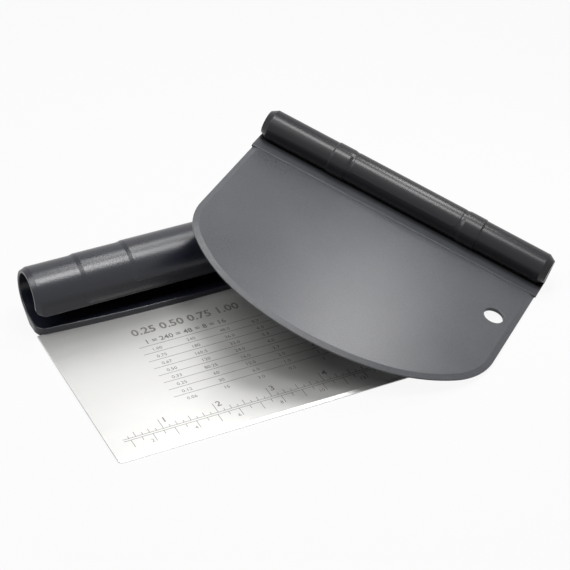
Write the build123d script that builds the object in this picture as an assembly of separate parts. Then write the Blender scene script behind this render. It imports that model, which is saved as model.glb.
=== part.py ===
from build123d import *
import math
import os

os.makedirs("parts", exist_ok=True)

# X runs along the bench handle, Y to its back and Z up from the table.

# Steel blade of the bench scraper
blade_width = 152.4
blade_reach = 98.4
blade_thickness = 1.0
blade_corner_radius = 2.0
ground_edge_width = 1.6
ground_edge_thickness = 0.35
tang_depth = 8.0
tang_inset = 5.0
tang_corner_radius = 3.0
lock_hole_count = 5
lock_hole_length = 12.0
lock_hole_width = 3.6
lock_hole_y = 4.2
lock_hole_countersink = 0.35

# Curled handle of the bench scraper
curl_axis_y = 11.0
curl_axis_z = 16.0
curl_radius = 13.0
channel_radius = 10.5
end_bevel_length = 2.5
end_bevel_depth = 1.0
underside_back_y = 10.5
floor_slope = 6.0
flange_corner_y = -0.3
flange_bow = 3.7
flange_corner_radius = 5.0
inner_edge_round = 0.5
lip_height = 11.2
lip_round = 1.1
lip_corner_radius = 5.0
lip_bevel_corner_radius = 3.0
grip_step = 0.45
grip_flank = 2.0
outer_grip_half = 52.8
inner_grip_half = 29.3
inner_grip_lift = 2.3
inner_grip_corner_radius = 2.0

# Flexible blade of the bowl scraper
plate_half_width = 75.3
plate_depth = 102.2
plate_thickness = 2.0
bottom_radius = 117.8
shoulder_radius = 75.2
bottom_sweep = 17.0
shoulder_sweep = 45.0
bevel_width = 2.8
bevel_top_drop = 0.75
bevel_under_rise = 0.65
hole_x = 64.4
hole_y = -26.9
hole_radius = 4.7
hole_rim = 0.35
tongue_inset = 5.0
tongue_depth = 9.0
tongue_thickness = 1.0
tongue_hole_count = 7
tongue_hole_radius = 2.0

# Rod handle of the bowl scraper
rod_length = 151.5
rod_radius = 7.5
rod_offset = 11.8
rod_end_length = 3.2
rod_end_depth = 1.9
ring_height = 0.35
ring_inner_half = 29.4
ring_outer_half = 39.6
ring_outer_flank = 0.6
ring_inner_flank = 1.5
panel_height = 0.15
panel_half = 28.4
panel_angle = 14.6
panel_corner_radius = 2.5
root_overhang = 0.6
root_lift = 0.4
root_edge_bevel = 0.3
root_back = 3.0
root_end_cut = 2.2
root_end_rise = 1.4
heel_half = 58.0
heel_end_slope = 4.0
heel_front = 0.8
nest_clearance = 0.2

# Leaning pose of the bowl scraper: its heel's front edge lies on the curl's end bevel
lean_inset = 0.612
lean_angle = 4.17
lean_gap = 0.375
lean_along = 32.11
bowl_yaw = -50.48
bowl_slope = 17.3
bowl_roll = -0.51

# Spans that only have to reach past the material they cut
cut_margin = 10.0


def spread(count, span):
    step = span / count
    return [step * (k + 1 / 2) - span / 2 for k in range(count)]


def turned(points, axis_y, axis_z):
    half = make_face(Polyline(*points, close=True))
    return Pos(0, axis_y, axis_z) * revolve(half, Axis.X)


def prism_x(section, length):
    return extrude(Plane.YZ * section, length / 2, both=True)


def prism_y(section, reach):
    return extrude(Plane.XZ * section, reach, both=True)


# Bench blade: a flat sheet with its narrower tang behind the handle's front edge
blade_half = blade_width / 2
handle_length = blade_width
sheet = Pos(0, -blade_reach / 2) * Rectangle(blade_width, blade_reach)
sheet = fillet(sheet.vertices().group_by(Axis.Y)[0], blade_corner_radius)
tang_width = blade_width - 2 * tang_inset
tang = Pos(0, tang_depth / 2) * Rectangle(tang_width, tang_depth)
tang = fillet(tang.vertices().group_by(Axis.Y)[-1], tang_corner_radius)
bench_blade = extrude(sheet + tang, blade_thickness)
for x in spread(lock_hole_count, tang_width):
    slot = SlotOverall(lock_hole_length, lock_hole_width)
    bench_blade -= Pos(x, lock_hole_y) * extrude(slot, blade_thickness)
underside = bench_blade.faces().sort_by(Axis.Z)[0]
hole_rims = [w.edges() for w in underside.inner_wires()]
bench_blade = chamfer([e for rim in hole_rims for e in rim], lock_hole_countersink)

# The cutting edge is ground from the top over its whole width
grind_drop = blade_thickness - ground_edge_thickness
grind = Plane.YZ * make_face(
    Polyline(
        (-blade_reach, ground_edge_thickness),
        (-blade_reach + ground_edge_width, blade_thickness),
        (-blade_reach, blade_thickness),
        close=True,
    )
)
bench_blade -= extrude(grind, blade_width / 2, both=True)

# Bench handle: a curl standing on a foot whose back runs up into it, bevelled at both ends
half_length = handle_length / 2
foot_to_axis_y = curl_axis_y - underside_back_y
foot_to_axis = math.hypot(foot_to_axis_y, curl_axis_z)
back_run = math.sqrt(foot_to_axis**2 - curl_radius**2)
back_angle = math.atan2(curl_axis_z, foot_to_axis_y) - math.asin(curl_radius / foot_to_axis)
foot = make_face(
    Polyline(
        (0, 0),
        (underside_back_y, 0),
        (
            underside_back_y + back_run * math.cos(back_angle),
            back_run * math.sin(back_angle),
        ),
        (curl_axis_y, curl_axis_z),
        (0, curl_axis_z),
        close=True,
    )
)
wall_front_y = curl_axis_y - curl_radius
front_wall = Pos(wall_front_y / 2, curl_axis_z / 2) * Rectangle(-wall_front_y, curl_axis_z)
curl_outline = foot + front_wall + Pos(curl_axis_y, curl_axis_z) * Circle(curl_radius)
core = prism_x(curl_outline, handle_length)
for side in (0, -1):
    end = core.faces().sort_by(Axis.X)[side]
    core = chamfer(end.edges(), end_bevel_depth, end_bevel_length, reference=end)
outer_grip_radius = curl_radius + grip_step
inner_grip_radius = outer_grip_radius + grip_step


def grip(half, low, high):
    flat = half - grip_flank
    profile = [(-half, 0), (-half, low), (-flat, high), (flat, high), (half, low), (half, 0)]
    return turned(profile, curl_axis_y, curl_axis_z)


outer_grip = grip(outer_grip_half, curl_radius, outer_grip_radius)
inner_grip = grip(inner_grip_half, outer_grip_radius, inner_grip_radius)
pad_rise = inner_grip_radius + inner_grip_corner_radius
pad_window = Pos(0, curl_axis_z + inner_grip_lift + pad_rise / 2) * RectangleRounded(
    2 * inner_grip_half, pad_rise, inner_grip_corner_radius
)
inner_grip = inner_grip & prism_y(pad_window, curl_axis_y + inner_grip_radius + cut_margin)

# The flange in front of it, under a floor that slopes up into the channel
slope = math.radians(floor_slope)
floor_touch_y = curl_axis_y + channel_radius * math.sin(slope)
floor_touch_z = curl_axis_z - channel_radius * math.cos(slope)


def floor_z(y):
    return floor_touch_z + (y - floor_touch_y) * math.tan(slope)


front_y = flange_corner_y - flange_bow - cut_margin
flange = make_face(
    Polyline(
        (front_y, 0),
        (0, 0),
        (0, floor_z(0)),
        (front_y, floor_z(front_y)),
        close=True,
    )
)
outside = core + outer_grip + inner_grip + prism_x(flange, handle_length)

# The C section opens at the front between the floor and the rounded lip
wide = inner_grip_radius + cut_margin
curl_disc = Pos(curl_axis_y, curl_axis_z) * Circle(inner_grip_radius)
foot_area = foot + flange + curl_disc
channel_disc = Pos(curl_axis_y, curl_axis_z) * Circle(channel_radius)
mouth = make_face(
    Polyline(
        (front_y, floor_z(front_y)),
        (floor_touch_y, floor_touch_z),
        (floor_touch_y, lip_height),
        (front_y, lip_height),
        close=True,
    )
)
c_section = foot_area - channel_disc - mouth
lip_points = c_section.vertices().filter_by(lambda v: abs(v.Y - lip_height) < lip_round / 10)
c_section = fillet(lip_points, lip_round)
bench_handle = outside & prism_x(c_section, handle_length)

# Seen from above the flange's front edge bows forward and its corners are round
keep = make_face(
    [
        ThreePointArc(
            (-half_length, flange_corner_y),
            (0, flange_corner_y - flange_bow),
            (half_length, flange_corner_y),
        ),
        Polyline(
            (half_length, flange_corner_y),
            (half_length, wide),
            (-half_length, wide),
            (-half_length, flange_corner_y),
        ),
    ]
)
keep = fillet(keep.vertices().group_by(Axis.Y)[0], flange_corner_radius)
front_block = Pos(0, front_y / 2 + wide / 2) * Rectangle(
    handle_length + 2 * cut_margin, wide - front_y
)
front_trim = extrude(front_block - keep, lip_height - lip_round / 2)
bench_handle -= front_trim

# The floor's front edge is rounded, and so are the ends of the channel behind it
floor_rim = bench_handle.edges().filter_by(GeomType.ELLIPSE)
floor_rim = floor_rim.filter_by(lambda e: floor_z(front_y) < e.center().Z < lip_height)
floor_rim = floor_rim.filter_by(lambda e: e.center().Y < floor_touch_y)
bench_handle = fillet(floor_rim, inner_edge_round)

# The lip's lower corners are round, seen from the front, and the end bevel runs round them
bevel_back_y = wall_front_y + end_bevel_depth


def lip_window(half, corner_radius):
    window = Pos(0, lip_height + curl_radius) * Rectangle(2 * half, 2 * curl_radius)
    return fillet(window.vertices().group_by(Axis.Y)[0], corner_radius)


back_window = Plane.XZ.offset(-bevel_back_y) * lip_window(half_length, lip_corner_radius)
front_window = Plane.XZ.offset(-wall_front_y) * lip_window(
    half_length - end_bevel_length, lip_bevel_corner_radius
)
lip_room = extrude(back_window, -channel_radius) + loft([back_window, front_window])
for side in (-1, 1):
    corner_block = Pos(
        side * half_length, wall_front_y, lip_height + lip_corner_radius / 2
    ) * Box(2 * lip_corner_radius, channel_radius, lip_corner_radius)
    bench_handle -= corner_block - lip_room

bench_handle -= bench_blade

# Bowl blade: a half-round sheet whose outline is three tangent arcs and a straight side
s1 = math.sin(math.radians(bottom_sweep))
c1 = math.cos(math.radians(bottom_sweep))
s2 = math.sin(math.radians(shoulder_sweep))
c2 = math.cos(math.radians(shoulder_sweep))
reach_to_corner = bottom_radius * s1 + shoulder_radius * (s2 - s1)
corner_radius = (plate_half_width - reach_to_corner) / (1 - s2)
arc_a = (bottom_radius * s1, -plate_depth + bottom_radius * (1 - c1))
arc_b = (reach_to_corner, arc_a[1] + shoulder_radius * (c1 - c2))
arc_c = (plate_half_width, arc_b[1] + corner_radius * c2)


def mid_heading(start, radius, sweep_from, sweep_to):
    middle = math.radians((sweep_from + sweep_to) / 2)
    begin = math.radians(sweep_from)
    return (
        start[0] + radius * (math.sin(middle) - math.sin(begin)),
        start[1] + radius * (math.cos(begin) - math.cos(middle)),
    )


mid_b = mid_heading(arc_a, shoulder_radius, bottom_sweep, shoulder_sweep)
mid_c = mid_heading(arc_b, corner_radius, shoulder_sweep, 90)


def mirrored(point):
    return (-point[0], point[1])


outline = make_face(
    [
        Line((plate_half_width, 0), arc_c),
        ThreePointArc(arc_c, mid_c, arc_b),
        ThreePointArc(arc_b, mid_b, arc_a),
        ThreePointArc(arc_a, (0, -plate_depth), mirrored(arc_a)),
        ThreePointArc(mirrored(arc_a), mirrored(mid_b), mirrored(arc_b)),
        ThreePointArc(mirrored(arc_b), mirrored(mid_c), mirrored(arc_c)),
        Line(mirrored(arc_c), (-plate_half_width, 0)),
        Line((-plate_half_width, 0), (plate_half_width, 0)),
    ]
)
plate = extrude(outline, -plate_thickness)


def rim_of(face):
    return face.outer_wire().edges().filter_by(lambda e: e.center().Y < -bevel_width)


plate_top = plate.faces().sort_by(Axis.Z)[-1]
plate = chamfer(rim_of(plate_top), bevel_width, bevel_top_drop, reference=plate_top)
plate_under = plate.faces().sort_by(Axis.Z)[0]
plate = chamfer(rim_of(plate_under), bevel_width, bevel_under_rise, reference=plate_under)

# Its hanging hole, and the tongue that the rod handle is moulded over
hole_at = Pos(hole_x, hole_y, -plate_thickness / 2)
plate -= hole_at * Cylinder(hole_radius, 2 * plate_thickness)
hole_edges = plate.edges().filter_by(GeomType.CIRCLE)
hole_edges = [e for e in hole_edges if abs(e.radius - hole_radius) < hole_rim]
plate = chamfer(hole_edges, hole_rim)
tongue_width = 2 * (plate_half_width - tongue_inset)
tongue = Box(tongue_width, tongue_depth + bevel_width, tongue_thickness)
plate += Pos(0, (tongue_depth - bevel_width) / 2, -plate_thickness / 2) * tongue
for x in spread(tongue_hole_count, tongue_width):
    peg = Cylinder(tongue_hole_radius, plate_thickness)
    plate -= Pos(x, tongue_depth / 2, -plate_thickness / 2) * peg

# Bowl handle: the rod with its two rings and the panel between them
rod_half = rod_length / 2
rod_tip = rod_radius - rod_end_depth
rod = turned(
    [
        (-rod_half, 0),
        (-rod_half, rod_tip),
        (-rod_half + rod_end_length, rod_radius),
        (rod_half - rod_end_length, rod_radius),
        (rod_half, rod_tip),
        (rod_half, 0),
    ],
    rod_offset,
    rod_radius,
)
ring_radius = rod_radius + ring_height
for side in (-1, 1):
    rod += turned(
        [
            (side * ring_inner_half, 0),
            (side * ring_inner_half, rod_radius),
            (side * (ring_inner_half + ring_inner_flank), ring_radius),
            (side * (ring_outer_half - ring_outer_flank), ring_radius),
            (side * ring_outer_half, rod_radius),
            (side * ring_outer_half, 0),
        ],
        rod_offset,
        rod_radius,
    )
panel_radius = rod_radius + panel_height
panel_low = rod_radius + panel_radius * math.sin(math.radians(panel_angle))
panel_rise = 2 * panel_radius
panel = turned(
    [(-panel_half, 0), (-panel_half, panel_radius), (panel_half, panel_radius), (panel_half, 0)],
    rod_offset,
    rod_radius,
)
panel_window = Pos(0, panel_low + panel_rise / 2) * RectangleRounded(
    2 * panel_half, panel_rise, panel_corner_radius
)
rod += panel & prism_y(panel_window, rod_offset + rod_radius + cut_margin)

# The root under the rod holds the tongue, and its heel is as deep as the channel allows
root_half = plate_half_width + root_overhang
nest_radius = channel_radius - nest_clearance
nest_axis_z = rod_radius + ring_radius - nest_radius
heel_under = nest_axis_z - nest_radius
root = make_face(
    Polyline(
        (0, -plate_thickness),
        (rod_offset + root_back, -plate_thickness),
        (rod_offset + root_back, rod_radius),
        (rod_offset, rod_radius),
        (rod_offset, root_lift),
        (root_edge_bevel, root_lift),
        (0, root_lift - root_edge_bevel),
        close=True,
    )
)
heel = make_face(
    Polyline(
        (heel_front, -plate_thickness),
        (heel_front, heel_under),
        (rod_offset + root_back, heel_under),
        (rod_offset + root_back, rod_radius),
        (rod_offset, rod_radius),
        (rod_offset, -plate_thickness),
        close=True,
    )
)
bore_room = Pos(rod_offset, nest_axis_z) * Circle(nest_radius)
front_room = Pos(rod_offset / 2, 0) * Rectangle(rod_offset, 2 * rod_radius)
nest_room = bore_room + front_room


def tapered(section, half, low, cut, rise):
    window = make_face(
        Polyline(
            (-half, low + rise),
            (-half + cut, low),
            (half - cut, low),
            (half, low + rise),
            (half, rod_radius),
            (-half, rod_radius),
            close=True,
        )
    )
    return prism_x(section & nest_room, 2 * half) & prism_y(window, cut_margin + 2 * rod_offset)


bowl_handle = rod + tapered(root, root_half, -plate_thickness, root_end_cut, root_end_rise)
heel_drop = -plate_thickness - heel_under
bowl_handle += tapered(heel, heel_half, heel_under, heel_end_slope, heel_drop)
bowl_handle -= plate

# The heel's front edge stands off the bevel by the lean gap, square to its slope
bevel_angle = math.atan2(end_bevel_depth, end_bevel_length)
bevel_radius = curl_radius - end_bevel_depth * (1 - lean_inset / end_bevel_length)
lean_radius = bevel_radius + lean_gap * math.cos(bevel_angle)
lean_turn = math.radians(lean_angle)
lean_point = Pos(
    half_length - lean_inset + lean_gap * math.sin(bevel_angle),
    curl_axis_y - lean_radius * math.sin(lean_turn),
    curl_axis_z + lean_radius * math.cos(lean_turn),
)
lean = Rot(0, 0, bowl_yaw) * Rot(0, bowl_slope, 0) * Rot(bowl_roll, 0, 0)
pose = lean_point * lean * Pos(lean_along, -heel_front, -heel_under)

nodes = {
    "bench_blade": bench_blade,
    "bench_handle": bench_handle,
    "bowl_blade": pose * plate,
    "bowl_handle": pose * bowl_handle,
}
for name, solid in nodes.items():
    export_step(solid, f"parts/{name}.step")
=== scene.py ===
import math

import bmesh
import bpy
from mathutils import Matrix, Vector


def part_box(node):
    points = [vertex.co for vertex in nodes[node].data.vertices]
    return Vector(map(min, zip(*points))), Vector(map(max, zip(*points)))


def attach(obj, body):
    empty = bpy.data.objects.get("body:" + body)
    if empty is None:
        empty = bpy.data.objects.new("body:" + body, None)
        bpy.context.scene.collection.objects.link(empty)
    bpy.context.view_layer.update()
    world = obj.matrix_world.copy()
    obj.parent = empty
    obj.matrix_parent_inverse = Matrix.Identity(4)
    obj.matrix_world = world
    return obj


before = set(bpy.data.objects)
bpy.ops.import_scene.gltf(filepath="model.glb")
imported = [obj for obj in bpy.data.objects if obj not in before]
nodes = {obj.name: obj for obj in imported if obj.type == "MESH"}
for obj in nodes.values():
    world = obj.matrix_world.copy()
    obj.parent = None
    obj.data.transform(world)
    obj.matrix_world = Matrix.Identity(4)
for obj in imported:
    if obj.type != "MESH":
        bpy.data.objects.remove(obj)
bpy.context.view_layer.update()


# Table top.
# The plain white studio table that the tools lie on. It takes their soft shadow
# and is no part of them.
def add_node(tree, kind, **settings):
    made = tree.nodes.new(kind)
    for name, value in settings.items():
        setattr(made, name, value)
    return made


white = (1, 1, 1, 1)


def background_seen(tree):
    """1 for the rays that show the white background: straight, mirrored or through glass."""
    rays = add_node(tree, "ShaderNodeLightPath")
    mirrored = add_node(tree, "ShaderNodeMath", operation="MAXIMUM")
    through = add_node(tree, "ShaderNodeMath", operation="MAXIMUM")
    tree.links.new(rays.outputs["Is Camera Ray"], mirrored.inputs[0])
    tree.links.new(rays.outputs["Is Glossy Ray"], mirrored.inputs[1])
    tree.links.new(mirrored.outputs[0], through.inputs[0])
    tree.links.new(rays.outputs["Is Transmission Ray"], through.inputs[1])
    return through.outputs[0]


table_grey = (0.5, 0.5, 0.5, 1)
table_glow_share = 0.92
table_half = 4.0
table_drop = 0.0001

table_white = bpy.data.materials.new("table_white")
table_white.use_nodes = True
table_tree = table_white.node_tree
table_tree.nodes.clear()
table_out = add_node(table_tree, "ShaderNodeOutputMaterial")
table_matte = add_node(table_tree, "ShaderNodeBsdfDiffuse")
table_matte.inputs["Color"].default_value = table_grey
table_glow = add_node(table_tree, "ShaderNodeEmission")
table_glow.inputs["Color"].default_value = white
table_glow.inputs["Strength"].default_value = 1.0
table_share = add_node(table_tree, "ShaderNodeMath", operation="MULTIPLY")
table_share.inputs[1].default_value = table_glow_share
table_mix = add_node(table_tree, "ShaderNodeMixShader")
table_tree.links.new(background_seen(table_tree), table_share.inputs[0])
table_tree.links.new(table_share.outputs[0], table_mix.inputs[0])
table_tree.links.new(table_matte.outputs[0], table_mix.inputs[1])
table_tree.links.new(table_glow.outputs[0], table_mix.inputs[2])
table_tree.links.new(table_mix.outputs[0], table_out.inputs["Surface"])

table_corners = [
    (x * table_half, y * table_half, -table_drop)
    for x, y in ((-1, -1), (1, -1), (1, 1), (-1, 1))
]
table_mesh = bpy.data.meshes.new("table_top")
table_mesh.from_pydata(table_corners, [], [(0, 1, 2, 3)])
table_mesh.materials.append(table_white)
table_top = bpy.data.objects.new("table_top", table_mesh)
bpy.context.scene.collection.objects.link(table_top)


# Steel blade of the bench scraper.
# A flat sheet of stainless steel, satin polished along its width, with a front
# edge ground thin. Its tang is moulded into the handle behind it.
def material_for(name):
    """A new material with its node tree and its shader."""
    made = bpy.data.materials.new(name)
    made.use_nodes = True
    return made, made.node_tree, made.node_tree.nodes["Principled BSDF"]


def grain_group():
    """Fine uneven surface: a height, a tone round 1 and a roughness at each point."""
    group = bpy.data.node_groups.new("surface_grain", "ShaderNodeTree")
    for label, kind, value in (
        ("Vector", "NodeSocketVector", None),
        ("Stretch", "NodeSocketVector", (1.0, 1.0, 1.0)),
        ("Grain Size", "NodeSocketFloat", 0.0005),
        ("Cloud Size", "NodeSocketFloat", 0.02),
        ("Grain Contrast", "NodeSocketFloat", 1.0),
        ("Tone Range", "NodeSocketFloat", 0.1),
        ("Roughness", "NodeSocketFloat", 0.4),
        ("Roughness Range", "NodeSocketFloat", 0.1),
    ):
        socket = group.interface.new_socket(label, in_out="INPUT", socket_type=kind)
        if value is not None:
            socket.default_value = value
    for label in ("Height", "Tone", "Roughness"):
        group.interface.new_socket(label, in_out="OUTPUT", socket_type="NodeSocketFloat")
    inside = add_node(group, "NodeGroupInput")
    outside = add_node(group, "NodeGroupOutput")
    stretched = add_node(group, "ShaderNodeVectorMath", operation="MULTIPLY")
    group.links.new(inside.outputs["Vector"], stretched.inputs[0])
    group.links.new(inside.outputs["Stretch"], stretched.inputs[1])

    def noise(size_socket, detail):
        frequency = add_node(group, "ShaderNodeMath", operation="DIVIDE")
        frequency.inputs[0].default_value = 1.0
        group.links.new(inside.outputs[size_socket], frequency.inputs[1])
        pattern = add_node(group, "ShaderNodeTexNoise")
        pattern.inputs["Detail"].default_value = detail
        pattern.inputs["Roughness"].default_value = 0.55
        group.links.new(stretched.outputs[0], pattern.inputs["Vector"])
        group.links.new(frequency.outputs[0], pattern.inputs["Scale"])
        return pattern.outputs["Fac"]

    def centred(value):
        shifted = add_node(group, "ShaderNodeMath", operation="SUBTRACT")
        shifted.inputs[1].default_value = 0.5
        group.links.new(value, shifted.inputs[0])
        return shifted.outputs[0]

    def scaled(value, amount_socket, base_socket=None):
        product = add_node(group, "ShaderNodeMath", operation="MULTIPLY_ADD")
        group.links.new(value, product.inputs[0])
        group.links.new(inside.outputs[amount_socket], product.inputs[1])
        product.inputs[2].default_value = 1.0
        if base_socket:
            group.links.new(inside.outputs[base_socket], product.inputs[2])
        return product.outputs[0]

    fine = noise("Grain Size", 3.0)
    cloud = noise("Cloud Size", 4.0)
    both = add_node(group, "ShaderNodeMath", operation="ADD")
    speckle = add_node(group, "ShaderNodeMath", operation="MULTIPLY")
    group.links.new(centred(fine), speckle.inputs[0])
    group.links.new(inside.outputs["Grain Contrast"], speckle.inputs[1])
    group.links.new(speckle.outputs[0], both.inputs[0])
    group.links.new(centred(cloud), both.inputs[1])
    group.links.new(fine, outside.inputs["Height"])
    group.links.new(scaled(both.outputs[0], "Tone Range"), outside.inputs["Tone"])
    group.links.new(
        scaled(both.outputs[0], "Roughness Range", "Roughness"), outside.inputs["Roughness"]
    )
    return group


surface_grain = grain_group()


def edge_group():
    """How far a point lies on a sharp edge, 0 to 1, which masks a painted highlight, and the
    rounded normal there.
    """
    group = bpy.data.node_groups.new("edge_highlight", "ShaderNodeTree")
    for label, value in (("Radius", 0.0004), ("Start", 0.01), ("Amount", 6.0)):
        socket = group.interface.new_socket(
            label, in_out="INPUT", socket_type="NodeSocketFloat"
        )
        socket.default_value = value
    group.interface.new_socket("Highlight", in_out="OUTPUT", socket_type="NodeSocketFloat")
    group.interface.new_socket("Normal", in_out="OUTPUT", socket_type="NodeSocketVector")
    inside = add_node(group, "NodeGroupInput")
    outside = add_node(group, "NodeGroupOutput")
    rounded = add_node(group, "ShaderNodeBevel", samples=8)
    flat = add_node(group, "ShaderNodeNewGeometry")
    alike = add_node(group, "ShaderNodeVectorMath", operation="DOT_PRODUCT")
    turned = add_node(group, "ShaderNodeMath", operation="SUBTRACT")
    turned.inputs[0].default_value = 1.0
    past = add_node(group, "ShaderNodeMath", operation="SUBTRACT")
    # This mask marks where the painted edge highlight is laid.
    highlighted = add_node(group, "ShaderNodeMath", operation="MULTIPLY", use_clamp=True)
    links = group.links
    links.new(inside.outputs["Radius"], rounded.inputs["Radius"])
    links.new(rounded.outputs["Normal"], alike.inputs[0])
    links.new(flat.outputs["Normal"], alike.inputs[1])
    links.new(alike.outputs["Value"], turned.inputs[1])
    links.new(turned.outputs[0], past.inputs[0])
    links.new(inside.outputs["Start"], past.inputs[1])
    links.new(past.outputs[0], highlighted.inputs[0])
    links.new(inside.outputs["Amount"], highlighted.inputs[1])
    links.new(highlighted.outputs[0], outside.inputs["Highlight"])
    links.new(rounded.outputs["Normal"], outside.inputs["Normal"])
    return group


edge_highlight = edge_group()


def finish_with_grain(tree, shader, colour, bump_depth, edge_radius, edge_highlight_colour, **values):
    """Gives a shader its grain and, in the edge colour, a painted highlight along its sharp edges,
    and returns the nodes for tint and grain.
    """
    place = add_node(tree, "ShaderNodeTexCoord")
    grain = add_node(tree, "ShaderNodeGroup", node_tree=surface_grain)
    for name, value in values.items():
        grain.inputs[name.replace("_", " ")].default_value = value
    tinted = add_node(tree, "ShaderNodeVectorMath", operation="SCALE")
    tinted.inputs[0].default_value = colour
    bump = add_node(tree, "ShaderNodeBump")
    bump.inputs["Distance"].default_value = bump_depth
    soft_edge = add_node(tree, "ShaderNodeGroup", node_tree=edge_highlight)
    soft_edge.inputs["Radius"].default_value = edge_radius
    # Painted highlight: along sharp edges the base colour is mixed toward the lighter edge colour.
    highlighted = add_node(tree, "ShaderNodeMix", data_type="RGBA")
    highlighted.inputs["B"].default_value = (*edge_highlight_colour, 1)
    links = tree.links
    links.new(place.outputs["Object"], grain.inputs["Vector"])
    links.new(grain.outputs["Tone"], tinted.inputs["Scale"])
    links.new(soft_edge.outputs["Highlight"], highlighted.inputs["Factor"])
    links.new(tinted.outputs[0], highlighted.inputs["A"])
    links.new(highlighted.outputs["Result"], shader.inputs["Base Color"])
    links.new(grain.outputs["Roughness"], shader.inputs["Roughness"])
    links.new(grain.outputs["Height"], bump.inputs["Height"])
    links.new(soft_edge.outputs["Normal"], bump.inputs["Normal"])
    links.new(bump.outputs["Normal"], shader.inputs["Normal"])
    return tinted, grain


def dress(node_name, finish):
    part = nodes[node_name]
    part.data.materials.clear()
    part.data.materials.append(finish)


satin_steel, steel_tree, steel_shader = material_for("satin_steel")
steel_shader.inputs["Metallic"].default_value = 0.65
finish_with_grain(
    steel_tree,
    steel_shader,
    colour=(0.60, 0.596, 0.584),
    bump_depth=0.000004,
    edge_radius=0.0002,
    edge_highlight_colour=(0.75, 0.75, 0.75),
    Stretch=(0.06, 1.0, 1.0),
    Grain_Size=0.0004,
    Cloud_Size=0.012,
    Tone_Range=0.05,
    Roughness=0.36,
    Roughness_Range=0.08,
)
dress("bench_blade", satin_steel)


# Ruler printed on the blade.
# Inches above a double line and centimetres below it, marked in grey on the
# steel. Only plain numbers stand by the ticks.
blade_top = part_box("bench_blade")[1].z
ink_sink = 0.00001
ink_rise = 0.00003
ruler_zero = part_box("bench_blade")[0].x
ruler_inset = 0.0068
inch = 0.0254
centimetre = 0.01
blade_inches = 6
inch_line_y = -0.0856
centimetre_line_y = -0.0869
line_width = 0.00024
tick_width = 0.00026
inch_number_y = -0.0817
inch_number_height = 0.0036
inch_number_gap = 0.0012
centimetre_number_y = -0.0919
centimetre_number_height = 0.0021
centimetre_number_gap = 0.0009
ink_colour = (0.14, 0.133, 0.12)

ink_grey, ink_tree, ink_shader = material_for("ink_grey")
finish_with_grain(
    ink_tree,
    ink_shader,
    colour=ink_colour,
    bump_depth=0.000002,
    edge_radius=0.00001,
    edge_highlight_colour=ink_colour,
    Grain_Size=0.0003,
    Cloud_Size=0.006,
    Tone_Range=0.5,
    Roughness=0.5,
    Roughness_Range=0.1,
)


def tick_row_tree():
    """A row of equal flat bars: named inputs give its start, step, count and bar size."""
    tree = bpy.data.node_groups.new("tick_row", "GeometryNodeTree")
    for label, kind in (
        ("Start", "NodeSocketVector"),
        ("Step", "NodeSocketVector"),
        ("Count", "NodeSocketInt"),
        ("Bar Size", "NodeSocketVector"),
        ("Ink", "NodeSocketMaterial"),
    ):
        tree.interface.new_socket(label, in_out="INPUT", socket_type=kind)
    tree.interface.new_socket("Geometry", in_out="OUTPUT", socket_type="NodeSocketGeometry")
    inside = add_node(tree, "NodeGroupInput")
    outside = add_node(tree, "NodeGroupOutput")
    row = add_node(tree, "GeometryNodeMeshLine", mode="OFFSET")
    bar = add_node(tree, "GeometryNodeMeshCube")
    placed = add_node(tree, "GeometryNodeInstanceOnPoints")
    real = add_node(tree, "GeometryNodeRealizeInstances")
    inked = add_node(tree, "GeometryNodeSetMaterial")
    tree.links.new(inside.outputs["Count"], row.inputs["Count"])
    tree.links.new(inside.outputs["Start"], row.inputs["Start Location"])
    tree.links.new(inside.outputs["Step"], row.inputs["Offset"])
    tree.links.new(inside.outputs["Bar Size"], bar.inputs["Size"])
    tree.links.new(row.outputs["Mesh"], placed.inputs["Points"])
    tree.links.new(bar.outputs["Mesh"], placed.inputs["Instance"])
    tree.links.new(placed.outputs["Instances"], real.inputs["Geometry"])
    tree.links.new(real.outputs["Geometry"], inked.inputs["Geometry"])
    tree.links.new(inside.outputs["Ink"], inked.inputs["Material"])
    tree.links.new(inked.outputs["Geometry"], outside.inputs["Geometry"])
    return tree


tick_row = tick_row_tree()


def plain_mesh(holder):
    """The holder's finished shape as a mesh. The holder itself is removed."""
    bpy.context.view_layer.update()
    evaluated = holder.evaluated_get(bpy.context.evaluated_depsgraph_get())
    made = bpy.data.meshes.new_from_object(evaluated)
    bpy.data.objects.remove(holder)
    return made


def bar_row(x, y, step, count, width, length):
    """Mesh of bars whose left lower corner starts at x, y."""
    holder = bpy.data.objects.new("tick_holder", bpy.data.meshes.new("tick_holder"))
    bpy.context.scene.collection.objects.link(holder)
    modifier = holder.modifiers.new("ticks", "NODES")
    modifier.node_group = tick_row
    middle_z = blade_top + (ink_rise - ink_sink) / 2
    values = {
        "Start": (x + width / 2, y + length / 2, middle_z),
        "Step": step,
        "Count": count,
        "Bar Size": (width, length, ink_rise + ink_sink),
        "Ink": ink_grey,
    }
    for item in tick_row.interface.items_tree:
        if item.in_out == "INPUT":
            modifier[item.identifier] = values[item.name]
    return plain_mesh(holder)


# Height of a digit of the built-in font at size 1.
digit_height = 0.73


def printed_number(words, x, y, height, side="CENTER", boldness=0.0):
    """Mesh of a plain number of that height, its foot at y and its middle or side at x."""
    letters = bpy.data.curves.new("number", "FONT")
    letters.body = words
    letters.size = 1.0
    letters.align_x = side
    letters.offset = boldness
    letters.resolution_u = 2
    letters.extrude = (ink_rise + ink_sink) / 2 / height * digit_height
    holder = bpy.data.objects.new("number", letters)
    bpy.context.scene.collection.objects.link(holder)
    made = plain_mesh(holder)
    scale = height / digit_height
    made.transform(
        Matrix.Translation((x, y, blade_top + (ink_rise - ink_sink) / 2))
        @ Matrix.Scale(scale, 4)
    )
    made.materials.clear()
    made.materials.append(ink_grey)
    return made


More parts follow.
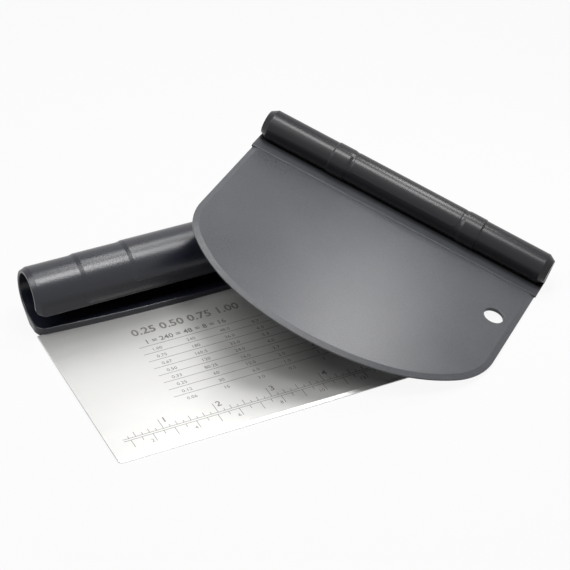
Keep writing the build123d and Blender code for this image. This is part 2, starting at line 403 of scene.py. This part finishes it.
def one_piece(name, meshes, body):
    """Joins the meshes to one inked piece that rides on the body."""
    joined = bmesh.new()
    for mesh in meshes:
        joined.from_mesh(mesh)
        bpy.data.meshes.remove(mesh)
    bmesh.ops.recalc_face_normals(joined, faces=joined.faces)
    result = bpy.data.meshes.new(name)
    joined.to_mesh(result)
    joined.free()
    result.materials.append(ink_grey)
    piece = bpy.data.objects.new(name, result)
    bpy.context.scene.collection.objects.link(piece)
    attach(piece, body)


ruler = []
line_start = ruler_zero + ruler_inset
line_span = blade_inches * inch - 2 * ruler_inset
for line_y in (inch_line_y, centimetre_line_y):
    ruler.append(bar_row(line_start, line_y, (0, 0, 0), 1, line_span, line_width))
for first, step, count, length in (
    (1.0, 1.0, 5, 0.0067),
    (0.5, 1.0, 6, 0.0035),
    (0.75, 0.5, 10, 0.0027),
    (0.375, 0.25, 22, 0.0017),
):
    x = ruler_zero + first * inch - tick_width / 2
    ruler.append(bar_row(x, inch_line_y, (step * inch, 0, 0), count, tick_width, length))
for first, step, count, length in ((1.0, 1.0, 14, 0.0052), (1.5, 1.0, 13, 0.0024)):
    x = ruler_zero + first * centimetre - tick_width / 2
    y = centimetre_line_y + line_width - length
    ruler.append(bar_row(x, y, (step * centimetre, 0, 0), count, tick_width, length))
for whole in range(1, blade_inches):
    x = ruler_zero + whole * inch + inch_number_gap
    ruler.append(
        printed_number(str(whole), x, inch_number_y, inch_number_height, "LEFT", boldness=0.01)
    )
for whole in range(2, 15, 2):
    x = ruler_zero + whole * centimetre - centimetre_number_gap
    ruler.append(
        printed_number(str(whole), x, centimetre_number_y, centimetre_number_height, "RIGHT")
    )
one_piece("ruler_print", ruler, "bench_scraper")


# Conversion table printed on the blade.
# Thin rules with rows of plain numbers between them, and a larger heading row
# and title row of numbers over them, in the same grey as the ruler.
title_place = (-0.0375, -0.0192)
title_height = 0.0050
heading_place = (-0.0345, -0.0269)
heading_height = 0.0032
rule_left = -0.0384
rule_step = 0.00558
first_rule_y = -0.0287
row_count = 8
row_number_drop = 0.0041
row_number_height = 0.0021
chart = []
for row in range(row_count):
    y = first_rule_y - row * rule_step
    chart.append(bar_row(rule_left, y, (0, 0, 0), 1, -2 * rule_left, line_width))
columns = {
    -0.0312: ("1.00", "0.75", "0.67", "0.50", "0.33", "0.25", "0.12", "0.06"),
    -0.0148: ("240", "180", "160.5", "120", "80.25", "60", "30", "15"),
    0.0018: ("48.0", "36.0", "32.0", "24.0", "16.0", "12.0", "6.0", "3.0"),
    0.0170: ("8.0", "6.0", "5.3", "4.0", "2.7", "2.0", "1.0", "0.5"),
    0.0325: ("16", "12", "10.6", "8", "5.3", "4", "2", "1"),
}
for x, numbers in columns.items():
    for row, number in enumerate(numbers):
        y = first_rule_y - row * rule_step - row_number_drop
        chart.append(printed_number(number, x, y, row_number_height))
chart.append(
    printed_number("1 = 240 = 48 = 8 = 16", *heading_place, heading_height, "LEFT", boldness=0.015)
)
chart.append(
    printed_number("0.25 0.50 0.75 1.00", *title_place, title_height, "LEFT", boldness=0.02)
)
one_piece("chart_print", chart, "bench_scraper")


# Handle of the bench scraper.
# One moulding in dark blue-grey plastic with a fine satin texture, curled into
# a hollow grip and moulded onto the tang of the steel.
slate_plastic, slate_tree, slate_shader = material_for("slate_plastic")
slate_shader.inputs["Specular IOR Level"].default_value = 0.5
finish_with_grain(
    slate_tree,
    slate_shader,
    colour=(0.007, 0.008, 0.014),
    bump_depth=0.00005,
    edge_radius=0.0004,
    edge_highlight_colour=(0.022, 0.024, 0.032),
    Grain_Size=0.0007,
    Cloud_Size=0.03,
    Tone_Range=0.5,
    Roughness=0.29,
    Roughness_Range=0.08,
)
dress("bench_handle", slate_plastic)


# Blade of the bowl scraper.
# A flexible half-round sheet in charcoal plastic, moulded with an even fine
# spark-eroded texture, with a thin bevelled scraping edge.
eroded_colour = (0.070, 0.072, 0.079)
eroded_roughness = 0.31
charcoal_plastic, charcoal_tree, charcoal_shader = material_for("charcoal_plastic")
charcoal_shader.inputs["Specular IOR Level"].default_value = 0.3
finish_with_grain(
    charcoal_tree,
    charcoal_shader,
    colour=eroded_colour,
    bump_depth=0.00007,
    edge_radius=0.0003,
    edge_highlight_colour=(0.10, 0.10, 0.105),
    Grain_Size=0.0006,
    Cloud_Size=0.05,
    Grain_Contrast=1.2,
    Tone_Range=0.6,
    Roughness=eroded_roughness,
    Roughness_Range=0.12,
)
dress("bowl_blade", charcoal_plastic)


# Rod handle of the bowl scraper.
# Moulded over the tongue of the sheet in near-black plastic. The rod is smooth,
# with two low rings and a grip panel, and its root is eroded like the blade.
rod_colour = (0.011, 0.011, 0.013)
rod_roughness = 0.30

# A point on the rod's middle line, the line's direction, and how far the rod
# reaches from it. What lies further out is the root.
rod_middle = (0.0621243, 0.0440381, 0.0526647)
rod_line = (0.60756, -0.736505, -0.297375)
rod_reach = 0.0083
root_blend = 0.0004

black_plastic, black_tree, black_shader = material_for("black_plastic")
black_shader.inputs["Specular IOR Level"].default_value = 0.3
rod_tint, rod_grain = finish_with_grain(
    black_tree,
    black_shader,
    colour=rod_colour,
    bump_depth=0.000015,
    edge_radius=0.0004,
    edge_highlight_colour=(0.03, 0.03, 0.034),
    Grain_Size=0.0007,
    Cloud_Size=0.03,
    Tone_Range=0.5,
    Roughness=rod_roughness,
    Roughness_Range=0.05,
)
rod_place = add_node(black_tree, "ShaderNodeTexCoord")
from_middle = add_node(black_tree, "ShaderNodeVectorMath", operation="SUBTRACT")
from_middle.inputs[1].default_value = rod_middle
off_line = add_node(black_tree, "ShaderNodeVectorMath", operation="CROSS_PRODUCT")
off_line.inputs[1].default_value = rod_line
line_distance = add_node(black_tree, "ShaderNodeVectorMath", operation="LENGTH")
on_root = add_node(black_tree, "ShaderNodeMapRange")
on_root.inputs["From Min"].default_value = rod_reach
on_root.inputs["From Max"].default_value = rod_reach + root_blend
root_colour = add_node(black_tree, "ShaderNodeMix", data_type="RGBA")
root_colour.inputs["A"].default_value = (*rod_colour, 1)
root_colour.inputs["B"].default_value = (*eroded_colour, 1)
root_roughness = add_node(black_tree, "ShaderNodeMix")
root_roughness.inputs["A"].default_value = rod_roughness
root_roughness.inputs["B"].default_value = eroded_roughness
black_tree.links.new(rod_place.outputs["Object"], from_middle.inputs[0])
black_tree.links.new(from_middle.outputs[0], off_line.inputs[0])
black_tree.links.new(off_line.outputs[0], line_distance.inputs[0])
black_tree.links.new(line_distance.outputs["Value"], on_root.inputs["Value"])
black_tree.links.new(on_root.outputs[0], root_colour.inputs["Factor"])
black_tree.links.new(on_root.outputs[0], root_roughness.inputs["Factor"])
black_tree.links.new(root_colour.outputs["Result"], rod_tint.inputs[0])
black_tree.links.new(root_roughness.outputs["Result"], rod_grain.inputs["Roughness"])
dress("bowl_handle", black_plastic)


# Light.
# Two soft boxes overhead draw the highlights on curl and rod, a wide one from the
# left and one behind fill, and a small lamp gives the sheet its sheen. The
# surroundings are white where they are seen or mirrored, and light only dimly.
world = bpy.data.worlds.new("studio")
bpy.context.scene.world = world
world.use_nodes = True
world_tree = world.node_tree
world_tree.nodes.clear()
world_out = add_node(world_tree, "ShaderNodeOutputWorld")
surround = add_node(world_tree, "ShaderNodeBackground")
surround.inputs["Color"].default_value = white
surround.inputs["Strength"].default_value = 0.14
backdrop = add_node(world_tree, "ShaderNodeBackground")
backdrop.inputs["Color"].default_value = white
backdrop.inputs["Strength"].default_value = 1.0
world_mix = add_node(world_tree, "ShaderNodeMixShader")
world_tree.links.new(background_seen(world_tree), world_mix.inputs[0])
world_tree.links.new(surround.outputs[0], world_mix.inputs[1])
world_tree.links.new(backdrop.outputs[0], world_mix.inputs[2])
world_tree.links.new(world_mix.outputs[0], world_out.inputs["Surface"])


def soft_box(name, place, target, width, depth, power):
    """A rectangular lamp that faces the target, its width as near along x as can be."""
    light = bpy.data.lights.new(name, "AREA")
    light.shape = "RECTANGLE"
    light.size = width
    light.size_y = depth
    light.energy = power
    lamp = bpy.data.objects.new(name, light)
    bpy.context.scene.collection.objects.link(lamp)
    out = (Vector(place) - Vector(target)).normalized()
    side = (Vector((1, 0, 0)) - out.x * out).normalized()
    turn = Matrix((side, out.cross(side), out)).transposed()
    lamp.matrix_world = Matrix.Translation(place) @ turn.to_4x4()
    lamp.visible_camera = False


for name, place, target, width, depth, power in (
    ("left_box", (-0.34, 0.0, 0.72), (0.02, -0.03, 0.02), 0.45, 0.45, 3.5),
    ("top_box", (0.135, -0.105, 0.779), (0.06, 0.0, 0.04), 0.20, 0.28, 3.3),
    ("curl_box", (0.090, 0.140, 0.380), (-0.045, 0.0, 0.04), 0.10, 0.13, 0.36),
    ("back_box", (0.27, 0.65, 0.52), (0.0, 0.0, 0.03), 0.46, 0.34, 0.12),
    ("sheen_lamp", (0.192, 0.018, 0.188), (0.014, -0.102, 0.01), 0.06, 0.06, 0.19),
):
    soft_box(name, place, target, width, depth, power)


# Camera.
# It looks down on the set from the left front, as the photograph does. Lengths
# and places in pixels are those of the photograph's frame.
frame_pixels = 570.0
lens_pixels = 2050.0
lens_middle = (287.301, 283.559)
camera_place = (-0.29981, -0.71831, 0.54581)
sight_down = math.radians(34.734)
sight_turn = math.radians(25.881)
tilt = math.radians(0.151)
right = Vector((math.cos(sight_turn), -math.sin(sight_turn), 0))
ahead = Vector(
    (
        math.sin(sight_turn) * math.cos(sight_down),
        math.cos(sight_turn) * math.cos(sight_down),
        -math.sin(sight_down),
    )
)
up = right.cross(ahead)
tilted_right = math.cos(tilt) * right + math.sin(tilt) * up
tilted_up = math.cos(tilt) * up - math.sin(tilt) * right
lens = bpy.data.cameras.new("camera")
lens.sensor_width = 36.0
lens.sensor_fit = "HORIZONTAL"
lens.lens = lens_pixels / frame_pixels * lens.sensor_width
lens.shift_x = (frame_pixels / 2 - lens_middle[0]) / frame_pixels
lens.shift_y = (lens_middle[1] - frame_pixels / 2) / frame_pixels
lens.clip_start = 0.01
camera = bpy.data.objects.new("camera", lens)
bpy.context.scene.collection.objects.link(camera)
camera_turn = Matrix((tilted_right, tilted_up, -ahead)).transposed()
camera.matrix_world = Matrix.Translation(camera_place) @ camera_turn.to_4x4()
bpy.context.scene.camera = camera
bpy.context.scene.view_settings.view_transform = "Standard"
